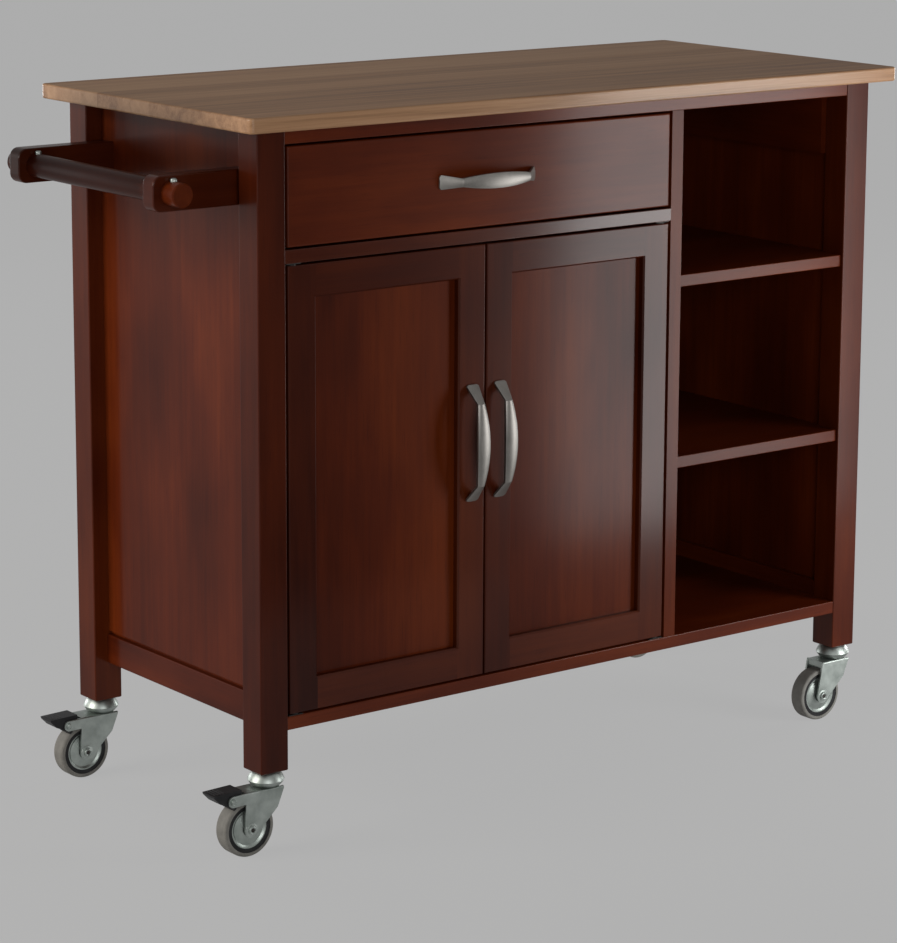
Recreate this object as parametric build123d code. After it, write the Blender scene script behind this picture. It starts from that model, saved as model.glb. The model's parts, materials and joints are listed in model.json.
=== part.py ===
from build123d import *
import os
from math import atan2, cos, hypot, sin, sqrt

# A kitchen cart on casters. All sizes in millimetres, +Z up, the front faces -Y, floor at Z = 0.

# Posts and overall carcass
carcass_width = 945.0
carcass_depth = 405.0
post_size = 38.0
post_length = 748.0
post_edge_radius = 1.5
post_foot_chamfer = 1.0

# Worktop
top_thickness = 18.0
top_overhang = 25.0
top_corner_radius = 7.0
top_edge_radius = 2.5

# Ends, back and rails
panel_inset = 21.0
panel_thickness = 9.0
back_thickness = 6.0
groove_depth = 6.0
groove_clearance = 0.1
rail_foot = 47.5
rail_height = 37.0
rail_inset = 18.0
rail_edge_radius = 1.5
shadow_gap = 4.0
shadow_depth = 4.0
cleat_proud = 8.0
cleat_height = 95.0
rear_rail_height = 60.0
rear_rail_thickness = 16.0

# Front layout, from the top down
front_recess = 1.0
top_rail_height = 17.5
drawer_front_height = 115.0
mid_rail_height = 16.0
mid_rail_depth = 60.0
board_thickness = 16.0
front_gap = 2.5
side_gap = 3.5
board_edge_radius = 1.0

# Divider and shelves
divider_thickness = 18.0
open_bay_width = 276.0
shelf_thickness = 15.0
shelf_clear_height = 215.5
shelf_recess = 3.0
shelf_fit = 0.3
cabinet_shelf_height = 288.0
cabinet_shelf_recess = 9.0
cabinet_shelf_fit = 1.0
shelf_pin_radius = 2.5
shelf_pin_depth = 8.0
shelf_pin_margin = 5.0
pin_hole_clearance = 0.1

# Doors
door_thickness = 18.0
stile_width = 39.0
door_panel_thickness = 6.0
door_panel_depth = 9.0
door_groove_depth = 7.0
door_bevel = 2.0
door_edge_radius = 1.5
tenon_margin = 6.0
panel_float = 0.5

# Door pivots and catch
pivot_offset = 9.0
pivot_inset = 7.0
pivot_pin_radius = 2.5
pivot_pin_length = 11.0
pivot_plate_length = 20.0
pivot_plate_width = 12.0
pivot_plate_thickness = 1.0
bush_radius = 4.5
bush_length = 14.0
bush_flange_radius = 6.0
bush_flange_thickness = 1.0
running_clearance = 0.05
strike_width = 16.0
strike_height = 26.0
strike_thickness = 1.2
strike_drop = 4.0
catch_width = 46.0
catch_depth = 16.0
catch_height = 14.0
catch_gap = 0.4

# Drawer
drawer_edge_radius = 2.0
drawer_rear_gap = 8.0
drawer_side_drop = 17.0
drawer_side_thickness = 12.0
drawer_side_lift = 14.0
drawer_bottom_thickness = 4.0
drawer_bottom_lift = 10.0
drawer_groove = 6.0
runner_space = 13.0
runner_gap = 0.8
runner_cleat_gap = 2.0
runner_height = 22.0
runner_sheet = 1.2
runner_setback = 3.0
runner_rear_gap = 2.0
slide_lip_height = 8.0
slide_lip_gap = 2.0
slide_roller_gap = 1.0
slide_roller_width = 6.0

# Pulls
pull_length = 142.0
pull_neck_span = 99.5
pull_projection = 27.0
pull_arch = 6.0
pull_end_width = 18.0
pull_neck_width = 10.0
pull_middle_width = 18.0
pull_thickness = 5.0
pull_crown = 1.6
pull_toe = 2.2
pull_toe_radius = 3.0
pull_quarter_rise = 0.75
door_pull_drop = 237.5

# Towel bar
towel_reach = 109.0
towel_arm_height = 41.0
towel_arm_thickness = 22.0
towel_arm_drop = 47.0
towel_arm_gap = 6.0
towel_end_radius = 11.0
towel_edge_radius = 1.5
towel_dowel_radius = 14.0
towel_dowel_setback = 24.0
towel_stub = 24.0
towel_end_chamfer = 1.5
lock_pin_radius = 4.0
lock_pin_length = 18.0
lock_pin_proud = 3.5
lock_pin_gap = 1.0

# Casters, heights measured down from the post foot, wheels trailing towards -X
stem_radius = 5.0
stem_length = 38.0
stem_clearance = 0.1
cup_neck_radius = 14.0
cup_radius = 21.75
cup_belly = 11.0
cup_height = 18.5
cup_lip_radius = 14.5
cup_bulge = 0.8
kingpin_radius = 5.0
kingpin_head_radius = 8.0
kingpin_head_thickness = 2.4
plate_gap = 0.3
fork_sheet = 2.5
fork_bend_radius = 2.0
fork_front = 15.0
fork_rear = -37.0
tail_rear = -31.0
tail_clearance = 3.7
boss_radius = 9.5
shin_reach = 4.5
shin_radius = 2.0
lobe_radius = 6.5
wheel_offset = -30.0
wheel_radius = 34.0
wheel_headroom = 8.7
hub_play = 1.0
tyre_width = 21.0
tyre_round = 3.0
tyre_inner_radius = 29.0
rim_width = 19.0
disc_radius = 24.0
disc_lip = 1.5
disc_dish_radius = 20.0
web_width = 12.0
disc_dish_width = 15.0
disc_lip_width = 18.4
disc_hub_width = 20.0
hub_radius = 9.0
hub_width = 24.0
axle_radius = 4.0
rivet_rim = 1.5
rivet_height = 1.8
pedal_pivot_x = -55.0
pedal_pivot_clearance = 11.5
pedal_pin_radius = 2.5
pedal_play = 0.7
pedal_tip_reach = 25.0
pedal_tip_rise = 10.8
pedal_tip_depth = 2.6
pedal_tip_rake = 0.6
pedal_belly_reach = 16.5
pedal_heel_reach = 13.0
pedal_heel_rise = 11.8
pedal_heel_depth = 4.0
pedal_body_radius = 7.0
shoe_gap = 0.4
shoe_sweep = 0.35
shoe_overlap = 4.0

# Derived positions
plate_top = -(cup_height + plate_gap)
plate_base = plate_top - fork_sheet
head_top = plate_base - plate_gap
caster_height = 2 * wheel_radius + wheel_headroom - plate_base
axle_z = wheel_radius - caster_height
fork_inside = hub_width + 2 * hub_play
fork_outside = fork_inside / 2 + fork_sheet
pedal_rise = sqrt((wheel_radius + pedal_pivot_clearance) ** 2 - (wheel_offset - pedal_pivot_x) ** 2)
pedal_pivot = (pedal_pivot_x, axle_z + pedal_rise)
front_reach = max(top_overhang, pull_projection - front_recess)
x_left = towel_reach - (towel_reach + carcass_width + top_overhang) / 2
x_right = x_left + carcass_width
y_front = front_reach - (front_reach + carcass_depth + top_overhang) / 2
y_back = y_front + carcass_depth
z_foot = caster_height
z_top = z_foot + post_length

x_bay = x_left + post_size
x_end = x_right - post_size
divider_x = (x_end - open_bay_width - divider_thickness, x_end - open_bay_width)
panel_in_left = x_left + panel_inset + panel_thickness
panel_in_right = x_right - panel_inset - panel_thickness
y_face = y_front + front_recess
y_in_front = y_front + post_size
y_in_back = y_back - post_size
back_y = (y_back - panel_inset - back_thickness, y_back - panel_inset)

rail_z = (z_foot + rail_foot, z_foot + rail_foot + rail_height)
board_z = (rail_z[0], rail_z[0] + board_thickness)
top_rail_z = (z_top - top_rail_height, z_top)
drawer_z = (top_rail_z[0] - front_gap - drawer_front_height, top_rail_z[0] - front_gap)
mid_rail_z = (drawer_z[0] - front_gap - mid_rail_height, drawer_z[0] - front_gap)
door_z = (board_z[1] + front_gap, mid_rail_z[0] - front_gap)
door_y = (y_face, y_face + door_thickness)
bay_centre = (x_bay + divider_x[0]) / 2
door_width = (divider_x[0] - x_bay - 2 * side_gap - front_gap) / 2
left_door_x = (x_bay + side_gap, x_bay + side_gap + door_width)
right_door_x = (divider_x[0] - side_gap - door_width, divider_x[0] - side_gap)
pivot_y = y_face + pivot_inset
drawer_x = (x_bay + side_gap, divider_x[0] - side_gap)
rear_top_y = (back_y[0] - rear_rail_thickness, back_y[0])
box_x = (x_bay + runner_space, divider_x[0] - runner_space)
box_y = (door_y[1], rear_top_y[0] - drawer_rear_gap)
box_z = (drawer_z[0] + drawer_side_lift, drawer_z[1] - drawer_side_drop)
runner_depth = runner_space - runner_sheet - runner_gap
channel_y = (door_y[1] + runner_setback, back_y[0] - runner_rear_gap)
channel_z = (box_z[0] - runner_sheet, box_z[0] - runner_sheet + runner_height)
slide_roller_radius = runner_height / 2 - runner_sheet - slide_roller_gap
post_centres = {
    "front_left": (x_left + post_size / 2, y_front + post_size / 2),
    "front_right": (x_right - post_size / 2, y_front + post_size / 2),
    "rear_left": (x_left + post_size / 2, y_back - post_size / 2),
    "rear_right": (x_right - post_size / 2, y_back - post_size / 2),
}
BRAKED = ("front_left", "rear_left")

os.makedirs("parts", exist_ok=True)


def block(x, y, z):
    """A box from its low and high limits along each axis."""
    size = Box(x[1] - x[0], y[1] - y[0], z[1] - z[0])
    return Pos((x[0] + x[1]) / 2, (y[0] + y[1]) / 2, (z[0] + z[1]) / 2) * size


def rod(start, end, radius):
    """A round bar between two points on one axis."""
    start, end = Vector(*start), Vector(*end)
    plane = Plane(origin=start, z_dir=end - start)
    return extrude(plane * Circle(radius), amount=(end - start).length)


def eased(solid, axis, radius):
    """Round the edges that run along one axis."""
    return fillet(solid.edges().filter_by(axis), radius)


def grown(x, y, z, margin):
    """A box cutter larger than the piece it houses by the margin on every side."""
    return block(*((span[0] - margin, span[1] + margin) for span in (x, y, z)))


def save(name, *solids):
    """Write one node, a single solid or a group of separate ones."""
    bodies = [body for solid in solids for body in solid.solids()]
    shape = bodies[0] if len(bodies) == 1 else Compound(bodies)
    export_step(shape, f"parts/{name}.step")


# Worktop
top = block(
    (x_left - top_overhang, x_right + top_overhang),
    (y_front - top_overhang, y_back + top_overhang),
    (z_top, z_top + top_thickness),
)
top = eased(top, Axis.Z, top_corner_radius)
top_rims = top.faces().sort_by(Axis.Z)[-1].edges() + top.faces().sort_by(Axis.Z)[0].edges()
save("top_board", fillet(top_rims, top_edge_radius))

# End panels, with a thinner tongue at the foot that leaves a shadow line above the rail
panel_y = (y_in_front - groove_depth, y_in_back + groove_depth)
panel_z = (rail_z[1] + shadow_gap, z_top)
tongue_z = (rail_z[1] - groove_depth, panel_z[0])
end_x = {
    "left": (x_left + panel_inset, panel_in_left),
    "right": (panel_in_right, x_right - panel_inset),
}
tongue_x = {
    "left": (x_left + panel_inset + shadow_depth, panel_in_left),
    "right": (panel_in_right, x_right - panel_inset - shadow_depth),
}
rail_x = {"left": (x_left + rail_inset, x_bay), "right": (x_end, x_right - rail_inset)}
cleat_x = {
    "left": (panel_in_left, x_bay + cleat_proud),
    "right": (x_end - cleat_proud, panel_in_right),
}
side_y = (y_in_front, y_in_back)
housings = []
side_rails = []
cleats = []
for side in ("left", "right"):
    panel = block(end_x[side], panel_y, panel_z) + block(tongue_x[side], side_y, tongue_z)
    save(f"side_panel_{side}", panel)
    housings.append(grown(end_x[side], panel_y, panel_z, groove_clearance))
    rail = eased(block(rail_x[side], side_y, rail_z), Axis.Y, rail_edge_radius)
    side_rails.append(rail - grown(tongue_x[side], side_y, tongue_z, groove_clearance))
    cleat = block(cleat_x[side], side_y, (z_top - cleat_height, z_top))
    cleats.append(cleat - grown((x_bay, x_bay + runner_depth), channel_y, channel_z, runner_cleat_gap))
save("side_rails", *side_rails)
save("top_cleats", *cleats)

# Back panel and its rails
back_x = (x_bay - groove_depth, x_end + groove_depth)
back_tongue_x = (x_bay, x_end)
back_z = (rail_z[1], z_top)
back_foot_z = (rail_z[1] - groove_depth, rail_z[1])
save("back_panel", block(back_x, back_y, back_z) + block(back_tongue_x, back_y, back_foot_z))
housings.append(grown(back_x, back_y, back_z, groove_clearance))
rear_rail_y = (y_in_back, y_back - rail_inset)
rear_rail = eased(block(back_tongue_x, rear_rail_y, rail_z), Axis.X, rail_edge_radius)
save("rear_bottom_rail", rear_rail - grown(back_tongue_x, back_y, back_foot_z, groove_clearance))
rear_top_z = (z_top - rear_rail_height, z_top)
save("rear_top_rail", block((cleat_x["left"][1], cleat_x["right"][0]), rear_top_y, rear_top_z))

# Shelf pins, half in the posts or the divider and half under the loose shelf
shelf_base = z_foot + cabinet_shelf_height
pin_z = shelf_base - shelf_pin_radius
pin_ys = (y_in_front - shelf_pin_margin, y_in_back + shelf_pin_margin)
shelf_pins = []
pin_holes = []
for pin_x in (x_bay, divider_x[0]):
    for pin_y in pin_ys:
        low = (pin_x - shelf_pin_depth, pin_y, pin_z)
        high = (pin_x + shelf_pin_depth, pin_y, pin_z)
        shelf_pins.append(rod(low, high, shelf_pin_radius))
        pin_holes.append(rod(low, high, shelf_pin_radius + pin_hole_clearance))
save("shelf_pins", *shelf_pins)

# Posts, grooved for the panels and bored for the caster stems
for place, (post_x, post_y) in post_centres.items():
    half = post_size / 2
    post = block((post_x - half, post_x + half), (post_y - half, post_y + half), (z_foot, z_top))
    post = eased(post, Axis.Z, post_edge_radius)
    post = chamfer(post.faces().sort_by(Axis.Z)[0].edges(), post_foot_chamfer)
    bore_top = z_foot + stem_length + stem_clearance
    stem_bore = rod((post_x, post_y, z_foot), (post_x, post_y, bore_top), stem_radius + stem_clearance)
    save(f"post_{place}", post - housings - stem_bore - pin_holes)

# Front rails, bottom board and divider
top_rail_y = (y_face, y_in_front)
front_top_rail = eased(block((x_bay, x_end), top_rail_y, top_rail_z), Axis.X, board_edge_radius)
save("front_top_rail", front_top_rail)
mid_rail_y = (y_face, y_face + mid_rail_depth)
save("mid_rail", eased(block((x_bay, divider_x[0]), mid_rail_y, mid_rail_z), Axis.X, board_edge_radius))
board_y = (y_face, y_in_back)
save("bottom_board", eased(block((x_bay, x_end), board_y, board_z), Axis.X, board_edge_radius))
divider = block(divider_x, (y_face, back_y[0]), (board_z[1], z_top))
divider -= block(divider_x, top_rail_y, top_rail_z)
divider -= block(divider_x, rear_top_y, rear_top_z)
divider -= block(divider_x, (y_in_back, back_y[0]), (board_z[1], rail_z[1]))
save("divider", divider - pin_holes)

# Open shelves, notched round the right-hand posts
open_shelves = []
for level in (1, 2):
    base = board_z[1] + level * shelf_clear_height + (level - 1) * shelf_thickness
    level_z = (base, base + shelf_thickness)
    shelf = block((divider_x[1], panel_in_right), (y_face + shelf_recess, back_y[0]), level_z)
    shelf = eased(shelf, Axis.X, board_edge_radius)
    for notch_y in ((y_front, y_in_front), (y_in_back, y_back)):
        shelf -= grown((x_end, x_right), notch_y, level_z, shelf_fit)
    open_shelves.append(shelf)
save("open_shelves", *open_shelves)

# Loose shelf behind the doors
loose_x = (x_bay + cabinet_shelf_fit, divider_x[0] - cabinet_shelf_fit)
loose_y = (door_y[1] + cabinet_shelf_recess, back_y[0] - cabinet_shelf_fit)
loose_shelf = block(loose_x, loose_y, (shelf_base, shelf_base + shelf_thickness))
save("cabinet_shelf", eased(loose_shelf, Axis.X, board_edge_radius))


def pull_section(x, front, width, depth):
    """A crowned strip section across the pull, its front crest at the given projection."""
    edge = front - pull_crown
    plane = Plane(origin=(x, 0, 0), x_dir=(0, -1, 0), z_dir=(1, 0, 0))
    back = Line((edge - depth, width / 2), (edge - depth, -width / 2))
    low = Line((edge - depth, -width / 2), (edge, -width / 2))
    crest = ThreePointArc((edge, -width / 2), (front, 0), (edge, width / 2))
    high = Line((edge, width / 2), (edge - depth, width / 2))
    return plane * make_face(back + low + crest + high)


def make_pull():
    """An arched bow pull lying along X, its feet on the plane Y = 0 and its bar in front."""
    neck = pull_neck_span / 2
    neck_front = pull_projection - pull_arch
    quarter_front = neck_front + pull_arch * pull_quarter_rise
    quarter_width = pull_neck_width + (pull_middle_width - pull_neck_width) * pull_quarter_rise
    depth = pull_thickness - pull_crown
    stations = (
        (-neck, neck_front, pull_neck_width),
        (-neck / 2, quarter_front, quarter_width),
        (0, pull_projection, pull_middle_width),
        (neck / 2, quarter_front, quarter_width),
        (neck, neck_front, pull_neck_width),
    )
    pull = loft([pull_section(x, front, width, depth) for x, front, width in stations])
    for end in (-1, 1):
        toe = pull_section(end * pull_length / 2, pull_toe, pull_end_width, depth)
        ankle = pull_section(end * neck, neck_front, pull_neck_width, depth)
        pull += loft([toe, ankle], ruled=True)
    room = pull_length + pull_projection
    pull = pull & block((-room, room), (-room, 0), (-room, room))
    ends = pull.edges().filter_by(Axis.Y).group_by(Axis.X)
    return fillet(ends[0] + ends[-1], pull_toe_radius)


# Drawer
drawer_front = block(drawer_x, door_y, drawer_z)
drawer_front = fillet(drawer_front.faces().sort_by(Axis.Y)[0].edges(), drawer_edge_radius)
inner_x = (box_x[0] + drawer_side_thickness, box_x[1] - drawer_side_thickness)
base_z = (box_z[0] + drawer_bottom_lift, box_z[0] + drawer_bottom_lift + drawer_bottom_thickness)
base_x = (inner_x[0] - drawer_groove, inner_x[1] + drawer_groove)
base_y = (box_y[0] - drawer_groove, box_y[1])
base_room = grown(base_x, base_y, base_z, groove_clearance)
back_board_y = (box_y[1] - drawer_side_thickness, box_y[1])
save("drawer_front", drawer_front - base_room)
drawer_sides = [
    eased(block((low, high), box_y, box_z), Axis.Y, board_edge_radius) - base_room
    for low, high in ((box_x[0], inner_x[0]), (inner_x[1], box_x[1]))
]
save("drawer_sides", *drawer_sides)
save("drawer_back", block(inner_x, back_board_y, (base_z[1], box_z[1])))
save("drawer_bottom", block(base_x, base_y, base_z))
save("drawer_pull", Pos(bay_centre, y_face, sum(drawer_z) / 2) * make_pull())


def runner_pair(side):
    """The fixed channel and the sliding rail on one side, drawn outwards from the carcass face."""
    face, sign = (x_bay, 1) if side == "left" else (divider_x[0], -1)

    def spread(near, far):
        return tuple(sorted((face + sign * near, face + sign * far)))

    slot_z = (channel_z[0] + runner_sheet, channel_z[1] - runner_sheet)
    channel = block(spread(0, runner_depth), channel_y, channel_z)
    channel -= block(spread(runner_sheet, runner_depth), channel_y, slot_z)
    mid_z = sum(channel_z) / 2
    lip_z = (mid_z - slide_lip_height / 2, mid_z + slide_lip_height / 2)
    slide = block(spread(runner_space - runner_sheet, runner_space), box_y, channel_z)
    slide += block(spread(runner_sheet + slide_lip_gap, runner_space), box_y, lip_z)
    hub_y = box_y[1] - slide_roller_radius
    hub_near = face + sign * (runner_sheet + slide_lip_gap)
    hub_far = hub_near + sign * slide_roller_width
    slide += rod((hub_near, hub_y, mid_z), (hub_far, hub_y, mid_z), slide_roller_radius)
    return channel, slide


pairs = [runner_pair(side) for side in ("left", "right")]
save("drawer_runners", *(pair[0] for pair in pairs))
save("drawer_slides", *(pair[1] for pair in pairs))


def make_door(name, span, pivot_x, meeting_x):
    """A framed door: stiles, tenoned rails, floating panel, pull and pivot fittings."""
    blank = block(span, door_y, door_z)
    blank = fillet(blank.faces().sort_by(Axis.Y)[0].edges(), door_edge_radius)
    open_x = (span[0] + stile_width, span[1] - stile_width)
    open_z = (door_z[0] + stile_width, door_z[1] - stile_width)
    centre_x, centre_z = sum(open_x) / 2, sum(open_z) / 2
    wide, tall = open_x[1] - open_x[0], open_z[1] - open_z[0]
    mouth = Plane(origin=(centre_x, y_face, centre_z), x_dir=(1, 0, 0), z_dir=(0, -1, 0))
    throat = mouth.offset(-door_bevel)
    outer = mouth * Rectangle(wide + 2 * door_bevel, tall + 2 * door_bevel)
    flare = loft([outer, throat * Rectangle(wide, tall)])
    frame = blank - block(open_x, door_y, open_z) - flare
    panel_span_y = (y_face + door_panel_depth, y_face + door_panel_depth + door_panel_thickness)
    tongue = door_groove_depth - panel_float
    panel_x = (open_x[0] - tongue, open_x[1] + tongue)
    panel_z = (open_z[0] - tongue, open_z[1] + tongue)
    panel_room = grown(panel_x, panel_span_y, panel_z, groove_clearance)
    stiles = []
    for stile_x in ((span[0], open_x[0]), (open_x[1], span[1])):
        stiles.append((frame & block(stile_x, door_y, door_z)) - panel_room)
    rails = []
    for low, high, tenon_z in (
        (door_z[0], open_z[0], (door_z[0] + tenon_margin, panel_z[0] - tenon_margin)),
        (open_z[1], door_z[1], (panel_z[1] + tenon_margin, door_z[1] - tenon_margin)),
    ):
        rail = (frame & block(open_x, door_y, (low, high))) - panel_room
        rail += block(panel_x, panel_span_y, tenon_z)
        rails.append(rail)
        tenon_room = grown(panel_x, panel_span_y, tenon_z, groove_clearance)
        stiles = [stile - tenon_room for stile in stiles]
    bushes = []
    for end, sign in ((door_z[0], 1), (door_z[1], -1)):
        sunk = (pivot_x, pivot_y, end + sign * bush_length)
        rim = (pivot_x, pivot_y, end)
        lip = (pivot_x, pivot_y, end - sign * bush_flange_thickness)
        bush = rod(sunk, rim, bush_radius) + rod(rim, lip, bush_flange_radius)
        bushes.append(bush - rod(sunk, lip, pivot_pin_radius + running_clearance))
        stiles = [stile - rod(sunk, rim, bush_radius + pin_hole_clearance) for stile in stiles]
    stile_mid = meeting_x + (stile_width / 2 if meeting_x < centre_x else -stile_width / 2)
    strike_x = (stile_mid - strike_width / 2, stile_mid + strike_width / 2)
    strike_z = (door_z[1] - strike_drop - strike_height, door_z[1] - strike_drop)
    strike = block(strike_x, (door_y[1], door_y[1] + strike_thickness), strike_z)
    save(f"{name}_stiles", *stiles)
    save(f"{name}_rails", *rails)
    save(f"{name}_panel", block(panel_x, panel_span_y, panel_z))
    save(f"{name}_fittings", *bushes, strike)
    pull_place = Pos(stile_mid, y_face, door_z[1] - door_pull_drop)
    save(f"{name}_pull", pull_place * Rot(0, 90, 0) * make_pull())


left_pivot_x = left_door_x[0] + pivot_offset
right_pivot_x = right_door_x[1] - pivot_offset
make_door("left_door", left_door_x, left_pivot_x, left_door_x[1])
make_door("right_door", right_door_x, right_pivot_x, right_door_x[0])

# Pivot plates with their pins, under the mid rail and on the bottom board
pivot_pins = []
for pivot_x in (left_pivot_x, right_pivot_x):
    for seat, door_end, sign in ((mid_rail_z[0], door_z[1], -1), (board_z[1], door_z[0], 1)):
        plate_x = (pivot_x - pivot_plate_length / 2, pivot_x + pivot_plate_length / 2)
        plate_y = (pivot_y - pivot_plate_width / 2, pivot_y + pivot_plate_width / 2)
        plate_z = tuple(sorted((seat, seat + sign * pivot_plate_thickness)))
        plate = block(plate_x, plate_y, plate_z)
        tip = (pivot_x, pivot_y, door_end + sign * pivot_pin_length)
        pivot_pins.append(plate + rod((pivot_x, pivot_y, seat), tip, pivot_pin_radius))
save("door_pivot_pins", *pivot_pins)

# Magnetic catch
catch_x = (bay_centre - catch_width / 2, bay_centre + catch_width / 2)
catch_y = (door_y[1] + strike_thickness + catch_gap, door_y[1] + strike_thickness + catch_gap + catch_depth)
save("door_catch", block(catch_x, catch_y, (mid_rail_z[0] - catch_height, mid_rail_z[0])))

# Towel bar
arm_z = (z_top - towel_arm_drop - towel_arm_height, z_top - towel_arm_drop)
arm_x = (x_left - towel_reach, x_left + panel_inset)
front_arm_y = (y_in_front + towel_arm_gap, y_in_front + towel_arm_gap + towel_arm_thickness)
rear_arm_y = (y_in_back - towel_arm_gap - towel_arm_thickness, y_in_back - towel_arm_gap)
dowel_x = arm_x[0] + towel_dowel_setback
dowel_z = sum(arm_z) / 2
dowel_start = (dowel_x, front_arm_y[0] - towel_stub, dowel_z)
dowel_end = (dowel_x, rear_arm_y[1] + towel_stub, dowel_z)
arms = []
lock_pins = []
lock_bores = []
for arm_y in (front_arm_y, rear_arm_y):
    arm = block(arm_x, arm_y, arm_z)
    arm = fillet(arm.edges().filter_by(Axis.Y).group_by(Axis.X)[0], towel_end_radius)
    arm = fillet(arm.edges().filter_by(Axis.X), towel_edge_radius)
    arms.append(arm - rod(dowel_start, dowel_end, towel_dowel_radius))
    pin_y = arm_y[0] - lock_pin_gap - lock_pin_radius
    pin_top = dowel_z + towel_dowel_radius + lock_pin_proud
    pin_low = (dowel_x, pin_y, pin_top - lock_pin_length)
    lock_pin = rod(pin_low, (dowel_x, pin_y, pin_top), lock_pin_radius)
    lock_pins.append(fillet(lock_pin.faces().sort_by(Axis.Z)[-1].edges(), lock_pin_radius / 2))
    lock_bores.append(rod(pin_low, (dowel_x, pin_y, pin_top), lock_pin_radius))
save("towel_arms", *arms)
dowel = rod(dowel_start, dowel_end, towel_dowel_radius)
dowel_rims = dowel.faces().sort_by(Axis.Y)[0].edges() + dowel.faces().sort_by(Axis.Y)[-1].edges()
save("towel_dowel", chamfer(dowel_rims, towel_end_chamfer) - lock_bores)
save("dowel_pins", *lock_pins)


def turned(points, arcs=()):
    """Revolve a half profile of (radius, height) points about Z; arcs replace the span they start."""
    bends = dict(arcs)
    edges = []
    for index, start in enumerate(points):
        end = points[(index + 1) % len(points)]
        edge = ThreePointArc(start, bends[index], end) if index in bends else Line(start, end)
        edges.append(edge)
    return revolve(Plane.XZ * make_face(Curve() + edges), Axis.Z)


def caster_cup():
    """Stem, domed cup and headed kingpin, turned as one piece."""
    belly = (cup_radius, -cup_belly)
    crown = ((cup_neck_radius + cup_radius) / 2 + cup_bulge, cup_bulge - cup_belly / 2)
    skirt_z = -(cup_belly + cup_height) / 2 - cup_bulge
    skirt = ((cup_lip_radius + cup_radius) / 2 + cup_bulge, skirt_z)
    points = [
        (0, stem_length),
        (stem_radius, stem_length),
        (stem_radius, 0),
        (cup_neck_radius, 0),
        belly,
        (cup_lip_radius, -cup_height),
        (kingpin_radius, -cup_height),
        (kingpin_radius, head_top),
        (kingpin_head_radius, head_top),
        (kingpin_head_radius, head_top - kingpin_head_thickness),
        (0, head_top - kingpin_head_thickness),
    ]
    return turned(points, ((3, crown), (4, skirt)))


def on_side(sketch, low, high):
    """Extrude a side-view sketch, drawn in X and height, across from one Y to another."""
    plane = Plane(origin=(0, low, 0), x_dir=(1, 0, 0), z_dir=(0, -1, 0))
    return extrude(plane * sketch, amount=low - high)


def hulled(points, circles=()):
    """The convex outline round some points and some (x, height, radius) circles."""
    edges = [Circle(radius).moved(Pos(x, z)).edge() for x, z, radius in circles]
    corners = [Vertex(x, z) for x, z in points]
    rim = [Line(corners[i], corners[i + 1]) for i in range(len(corners) - 1)]
    return make_hull(edges + rim)


def caster_fork(braked):
    """Pressed fork with its riveted axle; the braked one carries the pedal's pivot."""
    rear = fork_rear if braked else tail_rear
    half = fork_outside
    plate = block((rear, 0), (-half, half), (plate_base, plate_top))
    plate += rod((0, 0, plate_base), (0, 0, plate_top), half)
    shin = (shin_reach, (plate_top + axle_z) / 2, shin_radius)
    cheek = hulled(
        ((rear, plate_top), (fork_front, plate_top), (fork_front, plate_base), (rear, plate_base)),
        ((wheel_offset, axle_z, boss_radius), shin),
    )
    if braked:
        root = (rear + lobe_radius, plate_top - lobe_radius)
        cheek += hulled((), ((*pedal_pivot, lobe_radius), (*root, lobe_radius)))
    fork = plate
    for low, high in ((-half, -fork_inside / 2), (fork_inside / 2, half)):
        fork += on_side(cheek, low, high)
    folds = fork.edges().filter_by(Axis.X).group_by(Axis.Z)[-1].sort_by(Axis.Y)
    fork = fillet([folds[0], folds[-1]], fork_bend_radius)
    fork += cross_rivet((wheel_offset, axle_z), axle_radius)
    if braked:
        fork += cross_rivet(pedal_pivot, pedal_pin_radius)
    else:
        tail_z = (axle_z + wheel_radius + tail_clearance, plate_top)
        fork += block((rear, rear + fork_sheet), (-half, half), tail_z)
    bore = kingpin_radius + running_clearance
    return fork - rod((0, 0, plate_base), (0, 0, plate_top), bore)


def cross_rivet(centre, radius):
    """A pin across both cheeks with a low head outside each."""
    head = radius + rivet_rim
    x, z = centre
    reach = fork_outside + rivet_height
    pin = rod((x, -reach, z), (x, reach, z), radius)
    for near, far in ((-reach, -fork_outside), (fork_outside, reach)):
        pin += rod((x, near, z), (x, far, z), head)
    return pin


def upright(solid):
    """Turn a piece made about Z onto the axle, which runs along Y."""
    return Pos(wheel_offset, 0, axle_z) * Rot(90, 0, 0) * solid


def wheel_core():
    """Hub, web and rim of the wheel."""
    bore = axle_radius + running_clearance
    half = [
        (bore, hub_width / 2),
        (hub_radius, hub_width / 2),
        (hub_radius, web_width / 2),
        (disc_radius, web_width / 2),
        (disc_radius, rim_width / 2),
        (tyre_inner_radius, rim_width / 2),
    ]
    return upright(turned(half + [(r, -z) for r, z in reversed(half)]))


def wheel_discs():
    """The dished plate on each side of the wheel."""
    dish = [
        (hub_radius, web_width / 2),
        (hub_radius, disc_hub_width / 2),
        (disc_dish_radius, disc_dish_width / 2),
        (disc_radius - disc_lip, disc_lip_width / 2),
        (disc_radius, disc_lip_width / 2),
        (disc_radius, web_width / 2),
    ]
    return [upright(turned([(r, sign * z) for r, z in dish])) for sign in (1, -1)]


def tyre():
    """The tread, rounded at its shoulders."""
    edge = tyre_width / 2
    low = wheel_radius - tyre_round
    knee = tyre_round * (1 - 0.5 ** 0.5)
    points = [
        (tyre_inner_radius, edge),
        (low, edge),
        (wheel_radius, edge - tyre_round),
        (wheel_radius, tyre_round - edge),
        (low, -edge),
        (tyre_inner_radius, -edge),
    ]
    crests = (wheel_radius - knee, edge - knee), (wheel_radius - knee, knee - edge)
    return upright(turned(points, ((1, crests[0]), (3, crests[1]))))


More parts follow.
